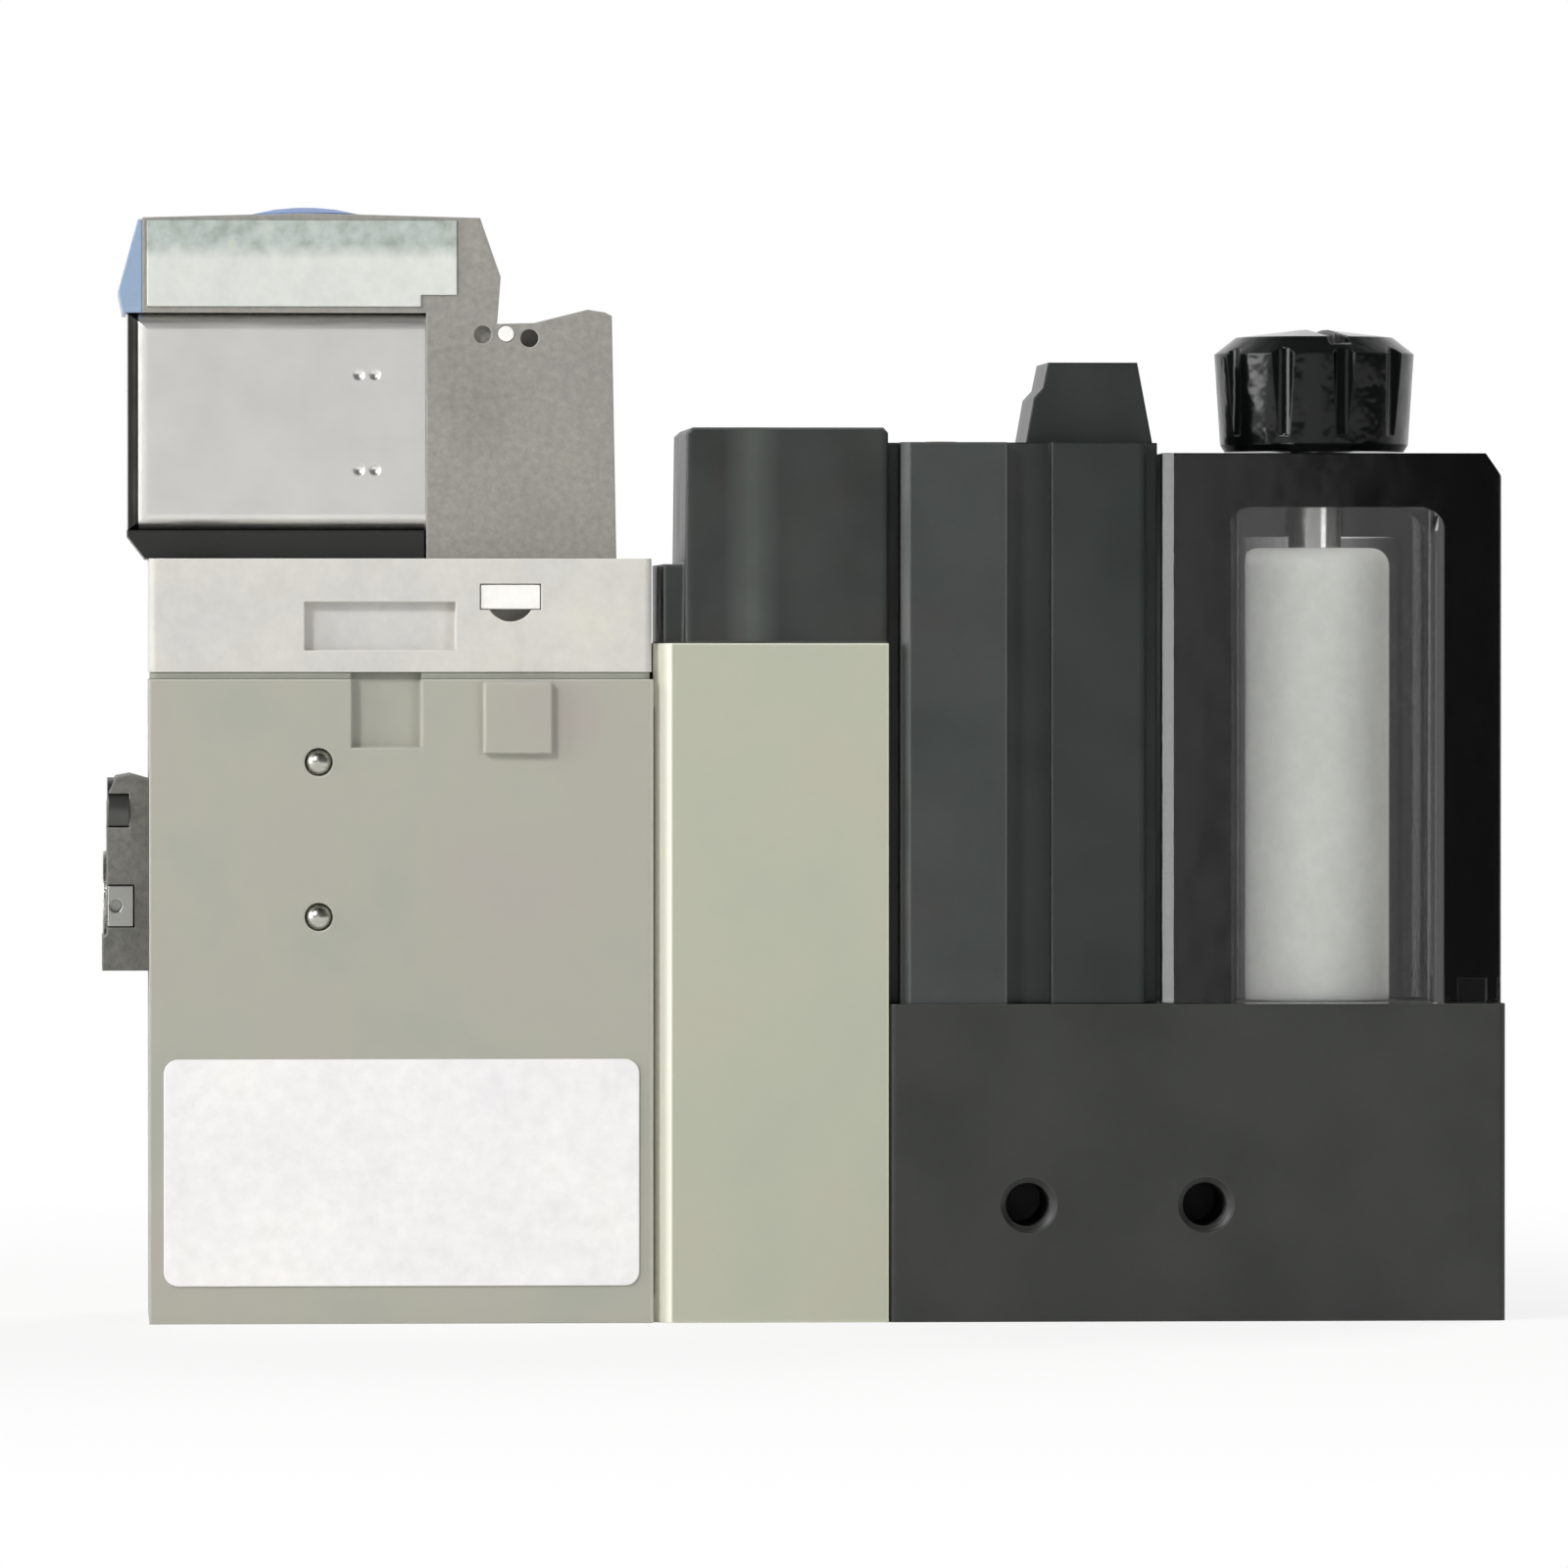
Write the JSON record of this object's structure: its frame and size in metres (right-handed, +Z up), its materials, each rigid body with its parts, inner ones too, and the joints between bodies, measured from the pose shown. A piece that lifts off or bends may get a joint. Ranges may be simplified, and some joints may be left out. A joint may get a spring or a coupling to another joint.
{
  "type": "vacuum ejector",
  "caption": "Compact vacuum ejector unit with solenoid pilot valve, silencer, vacuum switch and clear suction filter on one narrow manifold.",
  "frame": {"origin": "centre of the bounding box in X and Y, on the bottom face", "axes": "+X from the port block towards the filter, +Z up, -Y out of the front face with the labels"},
  "size_m": [0.0782, 0.0164, 0.0622],
  "materials": {
    "die_cast_grey": "painted die casting, satin",
    "die_cast_warm": "painted die casting, satin",
    "light_plastic": "satin moulding",
    "nitrile": "matt",
    "white_plastic": "smooth",
    "label_film": "satin film",
    "pilot_film": "satin film",
    "ball_steel": "polished",
    "zinc_steel": "zinc plated",
    "bright_steel": "ground",
    "spring_steel": "drawn wire",
    "brass": "turned",
    "port_plastic": "fibre-filled moulding",
    "nickel_brass": "nickel plated",
    "dark_screw": "black zinc",
    "turned_aluminium": "turned",
    "dark_plastic": "fine spark texture",
    "foam": "open-cell foam",
    "black_plastic": "satin moulding",
    "pilot_plastic": "satin moulding",
    "nickel_steel": "bright nickel plate",
    "copper": "enamelled wire",
    "core_steel": "turned",
    "blue_plastic": "smooth",
    "blue_plate": "smooth",
    "circuit_board": "solder mask",
    "contact": "tinned",
    "lens_white": "smooth",
    "base_plastic": "fine spark texture",
    "switch_plastic": "satin moulding",
    "lid_plastic": "satin moulding",
    "sensor_metal": "pressed",
    "trimmer_plastic": "smooth",
    "lens_red": "clear red",
    "smoked_clear": "smoked clear",
    "sintered": "sintered, matt",
    "knob_plastic": "glossy",
    "bolt_steel": "bright"
  },
  "bodies": {
    "housing": {"valve_body": "die_cast_grey", "valve_cap": "light_plastic", "cap_gasket": "nitrile", "cap_latch": "white_plastic", "name_label": "label_film", "ball_plugs": "ball_steel", "small_screws": "zinc_steel", "spool_spring": "spring_steel", "release_spring": "spring_steel", "port_block": "port_plastic", "port_bush": "nickel_brass", "bush_clip": "nickel_steel", "tie_screws": "dark_screw", "joint_screw": "dark_screw", "joint_gasket": "nitrile", "ejector_body": "die_cast_warm", "nozzle": "brass", "diffuser": "turned_aluminium", "o_rings": "nitrile", "silencer_cover": "dark_plastic", "silencer_element": "foam", "silencer_screws": "zinc_steel", "pilot_plate": "black_plastic", "pilot_body": "pilot_plastic", "solenoid_can": "nickel_steel", "coil_bobbin": "black_plastic", "coil_winding": "copper", "fixed_core": "core_steel", "poppet_spring": "spring_steel", "override_spring": "spring_steel", "end_plate": "blue_plate", "pilot_label": "pilot_film", "surge_board": "circuit_board", "contact_pins": "contact", "indicator_lens": "lens_white", "pilot_screws": "zinc_steel", "base_manifold": "base_plastic", "bolt_insert": "brass", "switch_body": "switch_plastic", "switch_lid": "lid_plastic", "switch_board": "circuit_board", "pressure_sensor": "sensor_metal", "switch_lens": "lens_red", "filter_case": "smoked_clear", "case_seal": "nitrile", "filter_element": "sintered"},
    "override_seal": {"override_ring": "nitrile"},
    "override": {"override_button": "blue_plastic"},
    "armature": {"armature": "core_steel", "pilot_poppet": "nitrile"},
    "spool": {"spool": "turned_aluminium", "spool_seals": "nitrile"},
    "release": {"release_poppet": "brass"},
    "needle_seal": {"needle_seal": "nitrile"},
    "needle": {"release_needle": "brass"},
    "check": {"check_disc": "nitrile"},
    "trimmer": {"setting_trimmer": "trimmer_plastic"},
    "bolt_seal": {"knob_seal": "nitrile"},
    "knob": {"knob": "knob_plastic", "tension_bolt": "bolt_steel"}
  },
  "joints": [
    {"name": "override_press", "type": "slide", "parent": "housing", "child": "override_seal", "axis": [0, 0, -1], "range_m": [0, 0.0004], "stiffness_N_per_m": 150, "springref_m": -0.001, "deforming": ["override_spring"]},
    {"name": "override_turn", "type": "hinge", "parent": "override_seal", "child": "override", "pos_m": [-0.0277, 0, 0.06], "axis": [0, 0, -1], "range_deg": [0, 90]},
    {"name": "armature_stroke", "type": "slide", "parent": "housing", "child": "armature", "axis": [0, 0, -1], "range_m": [0, 0.0004], "stiffness_N_per_m": 300, "springref_m": -0.001, "deforming": ["poppet_spring"]},
    {"name": "spool_travel", "type": "slide", "parent": "housing", "child": "spool", "axis": [1, 0, 0], "range_m": [0, 0.0015], "stiffness_N_per_m": 400, "springref_m": -0.002, "deforming": ["spool_spring"]},
    {"name": "release_travel", "type": "slide", "parent": "housing", "child": "release", "axis": [1, 0, 0], "range_m": [0, 0.001], "stiffness_N_per_m": 300, "springref_m": -0.002, "deforming": ["release_spring"]},
    {"name": "needle_travel", "type": "slide", "parent": "housing", "child": "needle_seal", "axis": [-1, 0, 0], "range_m": [0, 0.0009]},
    {"name": "needle_turn", "type": "hinge", "parent": "needle_seal", "child": "needle", "pos_m": [-0.0365, 0, 0.0285], "axis": [-1, 0, 0], "range_deg": [0, 721]},
    {"name": "check_lift", "type": "slide", "parent": "housing", "child": "check", "axis": [0, 0, 1], "range_m": [0, 0.0008]},
    {"name": "trimmer_turn", "type": "hinge", "parent": "housing", "child": "trimmer", "pos_m": [0.0083, 0, 0.047], "axis": [0, 0, 1], "range_deg": [-135, 135]},
    {"name": "knob_travel", "type": "slide", "parent": "housing", "child": "bolt_seal", "axis": [0, 0, 1], "range_m": [0, 0.004]},
    {"name": "knob_turn", "type": "hinge", "parent": "bolt_seal", "child": "knob", "pos_m": [0.0291, 0, 0.05], "axis": [0, 0, 1], "range_deg": [0, 2882]}
  ],
  "couplings": [
    {"joint": "armature_stroke", "follows": "override_press", "ratio": 1},
    {"joint": "needle_turn", "follows": "needle_travel", "rad_per_m": 13963},
    {"joint": "knob_turn", "follows": "knob_travel", "rad_per_m": 12566}
  ]
}
